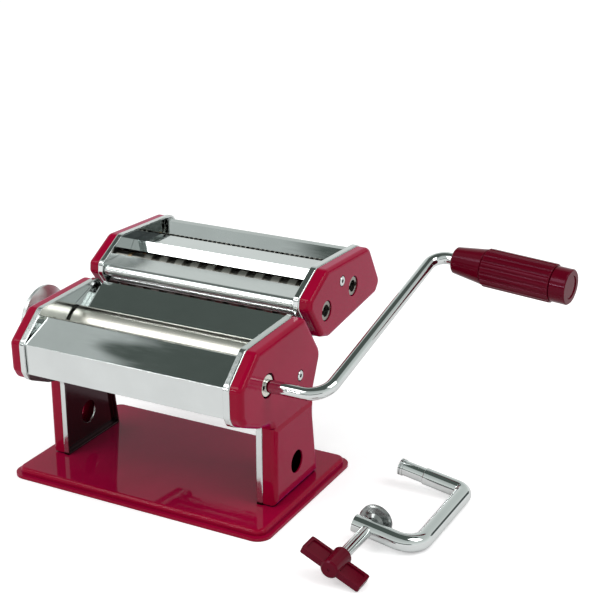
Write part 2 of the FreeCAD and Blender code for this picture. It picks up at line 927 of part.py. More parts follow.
def main_cover(side):
    cover = pressed_cover(side_outline, above(leg_step_height))
    cover = cover.cut(hole(0, above(clamp_hole_height), clamp_hole_radius))
    if side > 0:
        cover = cover.cut(hole(front_roller_y, front_roller_z, journal_radius + cover_hole_gap))
        cover = screw_seat(cover, *right_screw)
    else:
        cover = cover.cut(hole(setting_y, setting_z, index_boss_radius + boss_hole_gap))
        cover = screw_seat(cover, *left_screw)
        for y, z in rivet_places:
            cover = cover.cut(hole(y, z, rivet_radius))
    return placed(side, cover)


def around_setting(radius, angle):
    """Point on a circle about the setting shaft."""
    turn = math.radians(angle)
    return (setting_y + radius * math.cos(turn), setting_z + radius * math.sin(turn))


right_screw = around_setting(neck_hole_radius + right_screw_out, right_screw_angle)
left_screw = around_setting(index_radius + screw_head_radius + left_screw_gap,
                            left_screw_angle)
rivet_places = [around_setting(index_radius - rivet_inset,
                               rivet_start_angle + 360 * number / rivet_count)
                for number in range(rivet_count)]
save("cover_right", main_cover(1))
save("cover_left", main_cover(-1))


def cover_screw(y, z):
    """Flat screw with a six-sided socket, seated in the face of a right-hand cover."""
    seat = cover_face_x - screw_seat_depth
    top = seat + screw_head_height
    end = cover_face_x - cover_wall - screw_depth
    screw = turned([(end, 0), (end, screw_shank_radius), (seat, screw_shank_radius),
                    (seat, screw_head_radius), (top - screw_head_edge, screw_head_radius),
                    (top, screw_head_radius - screw_head_edge), (top, 0)], y, z)
    corners = [V(top - screw_socket_depth, y + screw_socket_radius * math.cos(turn),
                 z + screw_socket_radius * math.sin(turn))
               for turn in (2 * math.pi * corner / screw_socket_sides
                            for corner in range(screw_socket_sides))]
    socket = Part.Face(Part.makePolygon(corners + corners[:1]))
    return screw.cut(socket.extrude(V(screw_socket_depth + 1, 0, 0)))


def cover_stud(y, z, radius):
    """Stud between a right-hand plate and its cover, bored for the screw."""
    end = cover_face_x - cover_wall
    profile = [(plate_face_x, 0), (plate_face_x, radius), (end, radius),
               (end, screw_shank_radius), (end - screw_depth, screw_shank_radius),
               (end - screw_depth, 0)]
    return turned(profile, y, z)


save("cover_screws", cover_screw(*right_screw), mirrored(cover_screw(*left_screw)))
save("cover_studs", cover_stud(*right_screw, stud_radius),
     mirrored(cover_stud(*left_screw, stud_radius)))


# Front cover and rear guide


def beside_roller(y, z, radius, angle):
    """Point at a distance from a roller's axis."""
    turn = math.radians(angle)
    return (y + radius * math.cos(turn), z + radius * math.sin(turn))


low_edge = (nose_low[0] + cover_low_in, nose_low[1] - cover_low_drop)
front_lip = (brow[0] + cover_lip_in, brow[1] - cover_lip_drop)
front_path = [
    (low_edge[0] + hem_return, low_edge[1]),
    low_edge,
    (nose_high[0] + cover_crease_in, nose_high[1] - cover_crease_drop),
    front_lip,
    (front_lip[0] + lip_roll, front_lip[1] - lip_fall),
    beside_roller(front_roller_y, front_roller_z, roller_radius + chute_gap, chute_angle),
]
front_cover = sheet(front_path, guide_sheet, -plate_inner_x, plate_inner_x)
front_cover = front_cover.cut(right_plate).cut(left_plate)
save("front_cover", front_cover)

hanger_far_x = flange_edge_x - hanger_gap
hanger_near_x = hanger_far_x - hanger_sheet
rear_path = [
    beside_roller(setting_y, setting_z + eccentricity,
                  roller_radius + rear_guide_gap + guide_sheet, rear_guide_angle),
    (hook_rod_y, hook_rod_z + rear_guide_top_up),
]
rear_guide = sheet(rear_path, guide_sheet, -plate_inner_x, plate_inner_x)
rear_guide = rear_guide.cut(right_plate).cut(left_plate)
hanger_front_y = hook_rod_y - hook_rod_radius - hanger_slot_gap - hanger_sheet
for side in (-1, 1):
    notch = box(hanger_near_x - hanger_notch_gap, plate_face_x,
                hanger_front_y - hanger_notch_gap, bulge_y,
                base_height, hook_rod_z + 2 * rear_guide_top_up)
    rear_guide = rear_guide.cut(placed(side, notch))
save("rear_guide", rear_guide)


# Rollers with their bushes and gears

front_roller = turned([
    (-gear_far_x - gear_offset, 0),
    (-gear_far_x - gear_offset, gear_seat_radius),
    (-gear_near_x, gear_seat_radius),
    (-gear_near_x, journal_radius),
    (-roller_end_x, journal_radius),
    (-roller_end_x, roller_radius - roller_end_chamfer),
    (-roller_end_x + roller_end_chamfer, roller_radius),
    (roller_end_x - roller_end_chamfer, roller_radius),
    (roller_end_x, roller_radius - roller_end_chamfer),
    (roller_end_x, journal_radius),
    (socket_end_x, journal_radius),
    (socket_end_x, socket_bore_radius),
    (socket_end_x - socket_depth, socket_bore_radius),
    (socket_end_x - socket_depth, 0),
], front_roller_y, front_roller_z).cut(crank_socket_slot(front_roller_y, front_roller_z))
save("front_roller", front_roller)

front_bush = flanged_bush(front_roller_y, front_roller_z, journal_radius + bush_gap,
                          bush_wall, bush_flange, bush_flange_extra)
save("front_roller_bushes", front_bush, mirrored(front_bush))
save("front_gear", spur_gear(gear_teeth, gear_module, gear_tip_radius, gear_root_radius,
                             gear_thinning, gear_seat_radius, front_roller_y,
                             front_roller_z, 0))

neck_end_x = -gear_far_x - gear_offset
rear_roller = turned([
    (neck_end_x, roller_bore),
    (neck_end_x, neck_radius),
    (-roller_end_x, neck_radius),
    (-roller_end_x, roller_radius - roller_end_chamfer),
    (-roller_end_x + roller_end_chamfer, roller_radius),
    (roller_end_x - roller_end_chamfer, roller_radius),
    (roller_end_x, roller_radius - roller_end_chamfer),
    (roller_end_x, roller_bore),
], rear_roller_y, rear_roller_z)
save("rear_roller", rear_roller)


def roller_bush(x0, x1):
    """Plain bush between the eccentric shaft and the rear roller."""
    bore = eccentric_radius + bush_gap
    return turned([(x0, bore), (x0, roller_bush_outer), (x1, roller_bush_outer), (x1, bore)],
                  rear_roller_y, rear_roller_z)


save("rear_roller_bushes", roller_bush(neck_end_x, neck_end_x + roller_bush_length),
     roller_bush(roller_end_x - roller_bush_length, roller_end_x))
half_tooth = 180.0 / gear_teeth
save("rear_gear", spur_gear(gear_teeth, gear_module, gear_tip_radius, gear_root_radius,
                            gear_thinning, neck_radius, rear_roller_y, rear_roller_z,
                            180 + half_tooth))


# Thickness setting: eccentric shaft, index plate and knob

index_back_x = cover_face_x
index_face_x = index_back_x + index_thickness
boss_end_x = index_back_x - cover_wall - index_boss_reach
index_hole_circle = knob_neck_radius - index_hole_inset
knob_back_x = index_face_x + knob_gap
knob_face_x = knob_back_x + knob_neck_length + knob_flare_length + knob_rim_length
chamber_x = knob_back_x + knob_floor
spring_length = spring_pitch * spring_half_turns / 2 + spring_wire
spring_radius = (shaft_journal_radius + knob_chamber_radius) / 2
shaft_end_x = chamber_x + knob_travel + spring_gap + spring_length
washer_radius = knob_chamber_radius - washer_gap
clip_x = plate_face_x + bush_outer_lip + bush_gap
setting_shoulder_x = plate_inner_x - setting_bush_flange - bush_gap

eccentric_part = rod_x(-boss_end_x + bush_gap, setting_shoulder_x, rear_roller_y,
                       rear_roller_z, eccentric_radius)
right_journal = turned([
    (setting_shoulder_x - 1, 0),
    (setting_shoulder_x - 1, shaft_journal_radius),
    (clip_x, shaft_journal_radius),
    (clip_x, clip_groove_radius),
    (clip_x + clip_thickness, clip_groove_radius),
    (clip_x + clip_thickness, shaft_journal_radius),
    (clip_x + 2 * clip_thickness, shaft_journal_radius),
    (clip_x + 2 * clip_thickness, 0),
], setting_y, setting_z)
left_journal = turned([
    (-shaft_end_x, knob_screw_radius),
    (-shaft_end_x, shaft_journal_radius),
    (-boss_end_x + 1, shaft_journal_radius),
    (-boss_end_x + 1, 0),
    (-shaft_end_x + knob_screw_depth, 0),
    (-shaft_end_x + knob_screw_depth, knob_screw_radius),
], setting_y, setting_z)
save("gap_shaft", eccentric_part.fuse([right_journal, left_journal]).removeSplitter())

clip = turned([
    (clip_x, clip_groove_radius), (clip_x, clip_radius),
    (clip_x + clip_thickness, clip_radius), (clip_x + clip_thickness, clip_groove_radius),
], setting_y, setting_z)
mouth = box(clip_x - 1, clip_x + clip_thickness + 1, setting_y - clip_mouth / 2,
            setting_y + clip_mouth / 2, setting_z - clip_radius - 1, setting_z)
save("shaft_clip", clip.cut(mouth))
save("gap_shaft_bush", flanged_bush(setting_y, setting_z, setting_bush_bore,
                                    setting_bush_wall, setting_bush_flange,
                                    bush_flange_extra))

index_plate = turned([
    (-index_face_x, setting_bush_bore), (-index_face_x, index_radius - index_edge),
    (-index_face_x + index_edge, index_radius), (-index_back_x, index_radius),
    (-index_back_x, index_boss_radius), (-boss_end_x, index_boss_radius),
    (-boss_end_x, setting_bush_bore),
], setting_y, setting_z)
for position in range(index_positions):
    y, z = around_setting(index_hole_circle, index_start_angle - position * index_step)
    index_plate = index_plate.cut(rod_x(-index_face_x - 1, -index_back_x + 1, y, z,
                                        index_hole_radius))
for y, z in rivet_places:
    index_plate = index_plate.cut(rod_x(-index_face_x - 1, -index_back_x + 1, y, z,
                                        rivet_radius))
save("index_plate", index_plate)


def plate_rivet(y, z):
    """Rivet through the left-hand cover and the index plate, flush with the plate."""
    inner = cover_face_x - cover_wall
    return turned([
        (-index_face_x, 0), (-index_face_x, rivet_radius), (-inner, rivet_radius),
        (-inner, rivet_head_radius), (-inner + rivet_head_height, rivet_head_radius),
        (-inner + rivet_head_height, 0),
    ], y, z)


save("index_plate_rivets", *[plate_rivet(y, z) for y, z in rivet_places])

flare_x = knob_back_x + knob_neck_length
rim_x = flare_x + knob_flare_length
knob_bore = shaft_journal_radius + knob_bore_gap
knob = turned([
    (-knob_back_x, knob_bore),
    (-knob_back_x, knob_neck_radius),
    (-flare_x, knob_waist_radius),
    (-rim_x, knob_rim_radius - knob_edge),
    (-rim_x - knob_edge / 2, knob_rim_radius),
    (-knob_face_x + knob_edge, knob_rim_radius),
    (-knob_face_x, knob_rim_radius - knob_edge),
    (-knob_face_x, knob_chamber_radius),
    (-chamber_x, knob_chamber_radius),
    (-chamber_x, knob_bore),
], setting_y, setting_z)
pin_y, pin_z = around_setting(index_hole_circle, index_start_angle)
pin = rod_x(-knob_back_x - knob_pin_depth, -knob_back_x + knob_pin_show, pin_y, pin_z,
            knob_pin_radius)
save("gap_knob", knob.cut(pin))
save("knob_pin", pin)
save("knob_screw", turned([
    (-shaft_end_x + knob_screw_depth, 0),
    (-shaft_end_x + knob_screw_depth, knob_screw_radius),
    (-shaft_end_x, knob_screw_radius),
    (-shaft_end_x, washer_radius),
    (-shaft_end_x - washer_thickness, washer_radius),
    (-shaft_end_x - washer_thickness, knob_screw_head_radius),
    (-shaft_end_x - washer_thickness - knob_screw_head_height, knob_screw_head_radius),
    (-shaft_end_x - washer_thickness - knob_screw_head_height, 0),
], setting_y, setting_z))


def coil_spring():
    """Spring at its pressed length, resting on the washer of the knob screw."""
    wire = spring_wire / 2
    rise = spring_pitch / 4
    ring_radius = math.hypot(spring_radius, rise)
    lean = math.degrees(math.atan2(rise, spring_radius))
    halves = []
    for number in range(spring_half_turns):
        half = Part.makeTorus(ring_radius, wire, V(0, 0, 0), V(0, 0, 1), 0, 360, 180)
        if number % 2:
            half.rotate(V(0, 0, 0), V(0, 0, 1), 180)
            half.rotate(V(0, 0, 0), V(0, 1, 0), -lean)
        else:
            half.rotate(V(0, 0, 0), V(0, 1, 0), lean)
        half.translate(V(0, 0, rise * (2 * number + 1)))
        halves.append(half)
    coil = halves[0].fuse(halves[1:])
    coil.Placement = FreeCAD.Placement(V(-shaft_end_x + wire, setting_y, setting_z),
                                       FreeCAD.Rotation(V(0, 0, 1), V(1, 0, 0)))
    return coil


save("knob_spring", coil_spring())


# Crank with its pin and grip

shaft_axis = V(0, front_roller_y, front_roller_z)
arm_rise = math.radians(crank_arm_rise)
arm_way = V(0, math.cos(arm_rise), math.sin(arm_rise))
grip_way = V(1, -grip_lean * arm_way.y, -grip_lean * arm_way.z)
grip_way.normalize()
grip_length = grip_neck_length + grip_barrel_length + grip_collar_length
grip_end = grip_start + grip_length
chamber_start = grip_end - grip_chamber_depth
clip_start = chamber_start + grip_clip_gap
clip_end = clip_start + grip_clip_thickness
elbow = shaft_axis + V(crank_elbow_x, 0, 0)
grip_corner = elbow + arm_way * crank_arm_length + V(crank_arm_outward, 0, 0)
crank_end = grip_corner + grip_way * (clip_end + grip_rod_tail)
pin_x = socket_end_x - slot_depth + crank_pin_radius + slot_gap
crank_start = shaft_axis + V(socket_end_x - socket_depth + bush_gap, 0, 0)
crank = bent_rod([crank_start, elbow, grip_corner, crank_end],
                 [crank_elbow_bend, crank_grip_bend], crank_rod_radius)
crank_pin = Part.makeCylinder(crank_pin_radius, 2 * crank_pin_half,
                              V(pin_x, front_roller_y - crank_pin_half, front_roller_z),
                              V(0, 1, 0))
grip_clip_bore = crank_rod_radius - grip_clip_bite
grip_clip_radius = grip_chamber_radius - grip_clip_inset
groove = turned_along([(clip_start, grip_clip_bore), (clip_start, grip_barrel_radius),
                       (clip_end, grip_barrel_radius), (clip_end, grip_clip_bore)],
                      grip_corner, grip_way)
save("crank_rod", crank.cut(crank_pin).cut(groove))
save("crank_pin", crank_pin)
save("grip_clip", turned_along([(clip_start, grip_clip_bore), (clip_start, grip_clip_radius),
                                (clip_end, grip_clip_radius), (clip_end, grip_clip_bore)],
                               grip_corner, grip_way))


def grip():
    """Turning grip: tapered neck, fluted barrel and plain collar."""
    bore = crank_rod_radius + grip_bore_gap
    neck_end = grip_start + grip_neck_length
    barrel_end = neck_end + grip_barrel_length
    edge = grip_edge
    body = turned([
        (grip_start, bore),
        (grip_start, grip_neck_start_radius - edge),
        (grip_start + edge, grip_neck_start_radius),
        (neck_end - edge, grip_neck_end_radius),
        (neck_end, grip_neck_end_radius - edge),
        (neck_end, grip_barrel_radius - edge),
        (neck_end + edge, grip_barrel_radius),
        (barrel_end - edge, grip_barrel_radius),
        (barrel_end, grip_barrel_radius - edge),
        (barrel_end, grip_collar_radius - edge),
        (barrel_end + edge, grip_collar_radius),
        (grip_end - edge, grip_collar_radius),
        (grip_end, grip_collar_radius - edge),
        (grip_end, grip_chamber_radius),
        (chamber_start, grip_chamber_radius),
        (chamber_start, bore),
    ], 0, 0)
    flutes = []
    for index in range(grip_flutes):
        turn = 2 * math.pi * index / grip_flutes
        reach = grip_barrel_radius + grip_flute_radius - grip_flute_bite
        flutes.append(rod_x(neck_end, barrel_end, reach * math.cos(turn), reach * math.sin(turn),
                            grip_flute_radius))
    body = body.cut(flutes)
    body.Placement = FreeCAD.Placement(grip_corner, FreeCAD.Rotation(V(1, 0, 0), grip_way))
    return body


save("grip", grip())
cap_end = grip_end - cap_recess
save("grip_end_cap", turned_along([(cap_end - cap_thickness, 0),
                                   (cap_end - cap_thickness, grip_chamber_radius),
                                   (cap_end, grip_chamber_radius), (cap_end, 0)],
                                  grip_corner, grip_way))


# Cutter head: plates, covers, rods and hangers

cutter_rods = [
    from_hook(upper_rod_back, upper_rod_up),
    from_hook(lower_rod_back, lower_rod_up),
    from_hook(rear_rod_back, rear_rod_up),
]
cutter_bush_bore = cutter_journal_radius + bush_gap
cutter_bush_outer = cutter_bush_bore + cutter_bush_wall
socket_bush_bore = cutter_socket_radius + bush_gap
socket_bush_outer = socket_bush_bore + cutter_bush_wall
driven_places = (wide_driven, narrow_driven)
mate_places = (wide_mate, narrow_mate)


def cutter_plate(side):
    plate = flanged_plate(cutter_outline)
    for y, z in driven_places:
        plate = plate.cut(hole(y, z, socket_bush_outer if side > 0 else cutter_bush_outer))
    for y, z in mate_places:
        plate = plate.cut(hole(y, z, cutter_bush_outer))
    for y, z in cutter_rods:
        plate = plate.cut(hole(y, z, cutter_spigot_radius))
    return placed(side, plate)


cutter_right_plate = cutter_plate(1)
cutter_left_plate = cutter_plate(-1)
save("cutter_plate_right", cutter_right_plate)
save("cutter_plate_left", cutter_left_plate)

cutter_right_screw = from_hook(cutter_right_screw_back, cutter_right_screw_up)
cutter_left_screw = from_hook(cutter_left_screw_back, cutter_left_screw_up)


def cutter_cover(side):
    cover = pressed_cover(cutter_outline, None)
    y, z = cutter_right_screw if side > 0 else cutter_left_screw
    cover = screw_seat(cover, y, z)
    if side > 0:
        for y, z in driven_places:
            cover = cover.cut(hole(y, z, cutter_socket_radius + cover_hole_gap / 2))
    return placed(side, cover)


save("cutter_cover_right", cutter_cover(1))
save("cutter_cover_left", cutter_cover(-1))
save("cutter_cover_screws", cover_screw(*cutter_right_screw),
     mirrored(cover_screw(*cutter_left_screw)))
save("cutter_cover_studs", cover_stud(*cutter_right_screw, cutter_stud_radius),
     mirrored(cover_stud(*cutter_left_screw, cutter_stud_radius)))
save("cutter_tie_rods", *[riveted_rod(y, z, cutter_rod_radius, cutter_spigot_radius,
                                      cutter_rod_head_radius) for y, z in cutter_rods])


def hanger():
    """Ear on the right that hooks over the hook rod from above."""
    rod_reach = hook_rod_radius + hanger_slot_gap
    wall = hanger_sheet
    drop = rod_reach + wall / 2
    corners = [
        (-rod_reach - wall, -drop),
        (-rod_reach - wall, drop),
        (0.0, drop + wall + hanger_crest),
        (upper_rod_back - hanger_upper_front, upper_rod_up + hanger_upper_rise),
        (upper_rod_back + hanger_upper_rear, upper_rod_up + hanger_upper_top),
        (upper_rod_back + hanger_waist_back, lower_rod_up + hanger_waist_up),
        (lower_rod_back + hanger_lower_rear, lower_rod_up + hanger_lower_top),
        (lower_rod_back + hanger_lower_rear, lower_rod_up - hanger_lower_drop),
        (rod_reach + wall, -drop),
    ]
    outline = [from_hook(back, up) + (hanger_corner,) for back, up in corners]
    ear = prism(outline, hanger_near_x, hanger_far_x)
    ear = ear.cut(rod_x(hanger_near_x - 1, hanger_far_x + 1, hook_rod_y, hook_rod_z, rod_reach))
    ear = ear.cut(box(hanger_near_x - 1, hanger_far_x + 1, hook_rod_y - rod_reach,
                      hook_rod_y + rod_reach, hook_rod_z - 2 * drop, hook_rod_z))
    for y, z in cutter_rods[:2]:
        ear = ear.cut(rod_x(hanger_near_x - 1, hanger_far_x + 1, y, z, cutter_rod_radius))
    return ear


right_hanger = hanger()
save("cutter_hangers", right_hanger, mirrored(right_hanger))


# Guides of the cutter head

def between_cutter_plates(shape):
    """Trims a sheet to the room inside the flanges of both cutter plates."""
    return shape.cut(cutter_right_plate).cut(cutter_left_plate)


roll_y = hook_rod_y + front_roll_back
front_guide_z = wide_driven[1] + disc_radius + front_guide_rise
roll_z = front_guide_z - front_roll_radius
roll = rod_x(-plate_inner_x, plate_inner_x, roll_y, roll_z, front_roll_radius)
roll_room = rod_x(-plate_inner_x - 1, plate_inner_x + 1, roll_y, roll_z,
                  front_roll_radius - guide_sheet)
front_end_y = hook_rod_y + front_guide_end_back
front_flat = sheet([(roll_y, front_guide_z), (front_end_y, front_guide_z),
                    (front_end_y + guide_turn_back, front_guide_z - guide_turn_down)], guide_sheet,
                   -plate_inner_x, plate_inner_x)
front_guide = roll.fuse(front_flat).cut(roll_room)
save("cutter_front_guide", between_cutter_plates(front_guide))

ridge_path = [
    (wide_mate[0] - ridge_front_ahead, wide_mate[1] + disc_radius + ridge_front_rise),
    from_hook(ridge_top_back, ridge_top_up),
    from_hook(ridge_rear_back, ridge_rear_up),
    from_hook(ridge_rear_back + guide_turn_back, ridge_rear_up - guide_turn_down),
]
save("cutter_ridge_guide",
     between_cutter_plates(sheet(ridge_path, guide_sheet, -plate_inner_x, plate_inner_x)))

rear_cutter_path = [
    beside_roller(*narrow_mate, disc_radius + rear_slot_gap + guide_sheet, rear_slot_angle),
    from_hook(rear_ledge_back, rear_ledge_up),
    from_hook(rear_edge_back, rear_edge_up),
    from_hook(rear_skirt_back, rear_skirt_up),
]
save("cutter_rear_guide",
     between_cutter_plates(sheet(rear_cutter_path, guide_sheet, -plate_inner_x, plate_inner_x)))


# Cutter rollers, bushes, gears and combs

def toothed_profile(step, slots, first):
    """Profile of alternating discs and grooves; first is 0 or 1, the slot of the first disc."""
    half = step * slots / 2
    profile = []
    for slot in range(slots):
        x = -half + slot * step
        if slot % 2 == first:
            profile += [(x + disc_side_gap, groove_radius), (x + disc_side_gap, disc_radius),
                        (x + step - disc_side_gap, disc_radius),
                        (x + step - disc_side_gap, groove_radius)]
    return profile


def cutter_roller(step, slots, first, place, driven):
    """Cutter roller; a driven one ends in a crank socket on the right."""
    y, z = place
    half = step * slots / 2
    left_end = -gear_far_x - gear_offset
    profile = [(left_end, 0), (left_end, cutter_gear_seat_radius),
               (-gear_near_x, cutter_gear_seat_radius), (-gear_near_x, cutter_journal_radius),
               (-roller_end_x, cutter_journal_radius), (-roller_end_x, groove_radius),
               (-half, groove_radius)]
    profile += toothed_profile(step, slots, first)
    profile += [(half, groove_radius), (roller_end_x, groove_radius)]
    if driven:
        profile += [(roller_end_x, cutter_socket_radius), (socket_end_x, cutter_socket_radius),
                    (socket_end_x, socket_bore_radius),
                    (socket_end_x - socket_depth, socket_bore_radius),
                    (socket_end_x - socket_depth, 0)]
    else:
        right_end = plate_face_x + bush_outer_lip
        profile += [(roller_end_x, cutter_journal_radius), (right_end, cutter_journal_radius),
                    (right_end, 0)]
    roller = turned(profile, y, z)
    return roller.cut(crank_socket_slot(y, z)) if driven else roller


def comb(step, slots, first, place, way):
    """Stripper under a roller with fingers in its grooves."""
    y, z = place
    near = y + way * comb_offset
    y0 = min(near, near + way * comb_sheet)
    y1 = y0 + comb_sheet
    top = z - disc_radius - comb_gap
    half = step * slots / 2
    bar = box(-plate_inner_x, plate_inner_x, y0, y1, top - comb_drop, top)
    fingers = []
    for slot in range(slots):
        if slot % 2 != first:
            x = -half + slot * step
            fingers.append(box(x + comb_gap, x + step - comb_gap, y0, y1, top,
                               z - groove_radius - comb_gap))
    return bar.fuse(fingers).removeSplitter()


bushes = []
for y, z in driven_places + mate_places:
    plain = flanged_bush(y, z, cutter_bush_bore, cutter_bush_wall, bush_flange,
                         bush_flange_extra)
    bushes.append(mirrored(plain))
    if (y, z) in driven_places:
        bushes.append(flanged_bush(y, z, socket_bush_bore, cutter_bush_wall, bush_flange,
                                   bush_flange_extra))
    else:
        bushes.append(plain)
save("cutter_bushes", *bushes)

sets = [("wide", wide_step, wide_slots, wide_driven, wide_mate),
        ("narrow", narrow_step, narrow_slots, narrow_driven, narrow_mate)]
for name, step, slots, driven, mate in sets:
    save(name + "_driven_roller", cutter_roller(step, slots, 0, driven, True))
    save(name + "_mate_roller", cutter_roller(step, slots, 1, mate, False))
    save(name + "_driven_gear",
         spur_gear(cutter_gear_teeth, cutter_gear_module, cutter_gear_tip_radius,
                   cutter_gear_root_radius, cutter_gear_thinning, cutter_gear_seat_radius,
                   *driven, cutter_tilt))
    save(name + "_mate_gear",
         spur_gear(cutter_gear_teeth, cutter_gear_module, cutter_gear_tip_radius,
                   cutter_gear_root_radius, cutter_gear_thinning, cutter_gear_seat_radius,
                   *mate, cutter_tilt + 180 + 180 / cutter_gear_teeth))
    save(name + "_comb", comb(step, slots, 0, driven, 1), comb(step, slots, 1, mate, -1))


# Table clamp

arm_run = V(-math.cos(clamp_rise), 0, math.sin(clamp_rise))
far_corner = V(clamp_side_x, clamp_far_y, clamp_rod_radius)
near_corner = V(clamp_side_x, clamp_near_y, clamp_rod_radius)
far_reach = clamp_far_arm - clamp_end_reach
bar = bent_rod([far_corner + arm_run * far_reach, far_corner, near_corner,
                near_corner + arm_run * clamp_near_arm],
               [clamp_far_bend, clamp_near_bend], clamp_rod_radius)
ring = clamp_far_arm - clamp_ring_length
end_piece = turned_along([
    (far_reach, 0), (far_reach, clamp_rod_radius),
    (far_reach + clamp_edge_round / 2, clamp_end_radius), (ring, clamp_end_radius),
    (ring, clamp_rod_radius), (ring + clamp_ring_land, clamp_rod_radius),
    (ring + clamp_ring_land, clamp_end_radius),
    (ring + clamp_ring_land + clamp_ring_groove, clamp_end_radius),
    (ring + clamp_ring_land + clamp_ring_groove, clamp_rod_radius),
    (clamp_far_arm - clamp_edge_round / 2, clamp_rod_radius),
    (clamp_far_arm, clamp_rod_radius - clamp_edge_round), (clamp_far_arm, 0),
], far_corner, arm_run)
screw_hole = Part.makeCylinder(clamp_screw_radius + clamp_screw_gap, 4 * clamp_rod_radius,
                               V(clamp_screw_x, clamp_near_y - 2 * clamp_rod_radius,
                                 clamp_screw_z), V(0, 1, 0))
save("clamp_bar", bar.fuse(end_piece).removeSplitter().cut(screw_hole))

pad_back_y = clamp_near_y + clamp_rod_radius + clamp_pad_gap
screw_start_y = pad_back_y - clamp_screw_length
hub_back_y = screw_start_y - wing_hub_length
screw_axis = V(clamp_screw_x, 0, clamp_screw_z)
along_y = V(0, 1, 0)
screw_in_hub = hub_back_y + clamp_rod_radius / 2
tip_end = pad_back_y + clamp_tip_length
save("clamp_screw", turned_along([
    (screw_in_hub, 0), (screw_in_hub, clamp_screw_radius), (pad_back_y, clamp_screw_radius),
    (pad_back_y, clamp_tip_radius), (tip_end, clamp_tip_radius), (tip_end, 0),
], screw_axis, along_y))
pad_face_y = pad_back_y + clamp_pad_thickness
tip_room = clamp_tip_radius + 2 * clamp_screw_gap
dish_y = pad_face_y - clamp_pad_dish
boss_end_y = pad_back_y + clamp_pad_boss_height
rim_y = boss_end_y + clamp_pad_fall
save("clamp_pad", turned_along([
    (pad_back_y + clamp_screw_gap, tip_room),
    (pad_back_y + clamp_screw_gap, clamp_pad_boss_radius),
    (boss_end_y, clamp_pad_boss_base),
    (rim_y, clamp_pad_radius - clamp_edge_round),
    (rim_y + clamp_edge_round / 2, clamp_pad_radius),
    (pad_face_y, clamp_pad_radius),
    (pad_face_y, clamp_pad_radius - clamp_edge_round),
    (dish_y, clamp_pad_radius - 2 * clamp_edge_round),
    (dish_y + clamp_screw_gap, clamp_pad_boss_radius),
    (dish_y + clamp_edge_round, 0),
    (tip_end + clamp_screw_gap, 0),
    (tip_end + clamp_screw_gap, tip_room),
], screw_axis, along_y))


def wing_plate(half, margin, y0, y1, z0, z1):
    """Level plate about the screw, with rounded upright corners."""
    plate = box(clamp_screw_x - half + margin, clamp_screw_x + half - margin,
                y0 + margin, y1 - margin, z0, z1)
    upright = [edge for edge in plate.Edges
               if abs(edge.Vertexes[0].Z - edge.Vertexes[-1].Z) > (z1 - z0) / 2]
    return plate.makeFillet(wing_corner, upright)


def wing_knob():
    """Knob with two panelled wings along the screw, turned out of level."""
    hub = turned_along([
        (hub_back_y + wing_gate_depth, 0), (hub_back_y + wing_gate_depth, wing_gate_radius),
        (hub_back_y, wing_gate_radius), (hub_back_y, wing_hub_tip_radius - clamp_edge_round),
        (hub_back_y + clamp_edge_round, wing_hub_tip_radius),
        (screw_start_y - clamp_edge_round, wing_hub_radius),
        (screw_start_y, wing_hub_radius - clamp_edge_round), (screw_start_y, 0),
    ], screw_axis, along_y)
    near = hub_back_y + wing_offset
    far = near + wing_width
    low = clamp_screw_z - wing_thickness / 2
    high = clamp_screw_z + wing_thickness / 2
    wings = wing_plate(wing_span / 2, 0, near, far, low, high)
    panels = wing_plate(wing_span / 2, wing_panel_margin, near, far, high - wing_panel_depth,
                        high + 1)
    panels = panels.fuse(wing_plate(wing_span / 2, wing_panel_margin, near, far, low - 1,
                                    low + wing_panel_depth))
    wings = wings.cut(panels)
    wings.rotate(screw_axis, along_y, wing_turn)
    shank = Part.makeCylinder(clamp_screw_radius, screw_start_y + 1 - screw_in_hub,
                              V(clamp_screw_x, screw_in_hub, clamp_screw_z), along_y)
    return hub.fuse(wings).removeSplitter().cut(shank)


save("clamp_wing_knob", wing_knob())
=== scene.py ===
"""Hand cranked pasta machine with its cutter head, crank and table clamp.

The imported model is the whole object. This script gives each of its pieces a finish, and sets up the
studio and the camera.
"""

import bpy
from mathutils import Matrix, Vector


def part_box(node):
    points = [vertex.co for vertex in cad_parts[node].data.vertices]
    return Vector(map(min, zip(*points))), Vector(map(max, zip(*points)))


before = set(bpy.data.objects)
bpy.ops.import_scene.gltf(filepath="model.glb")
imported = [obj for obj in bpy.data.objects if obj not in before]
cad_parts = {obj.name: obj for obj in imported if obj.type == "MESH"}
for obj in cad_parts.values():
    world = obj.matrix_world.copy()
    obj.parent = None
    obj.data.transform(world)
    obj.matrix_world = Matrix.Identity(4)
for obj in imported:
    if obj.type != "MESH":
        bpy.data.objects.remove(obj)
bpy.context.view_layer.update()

mm = 0.001
micron = 0.000001

# Node tools

# Most of a noise lies between its start and its end
noise_start = 0.35
noise_end = 0.65
noise_roughness = 0.55
# Numbers of the Mix node's sockets for colours
mix_factor = 0
mix_first = 6
mix_second = 7
mix_result = 2


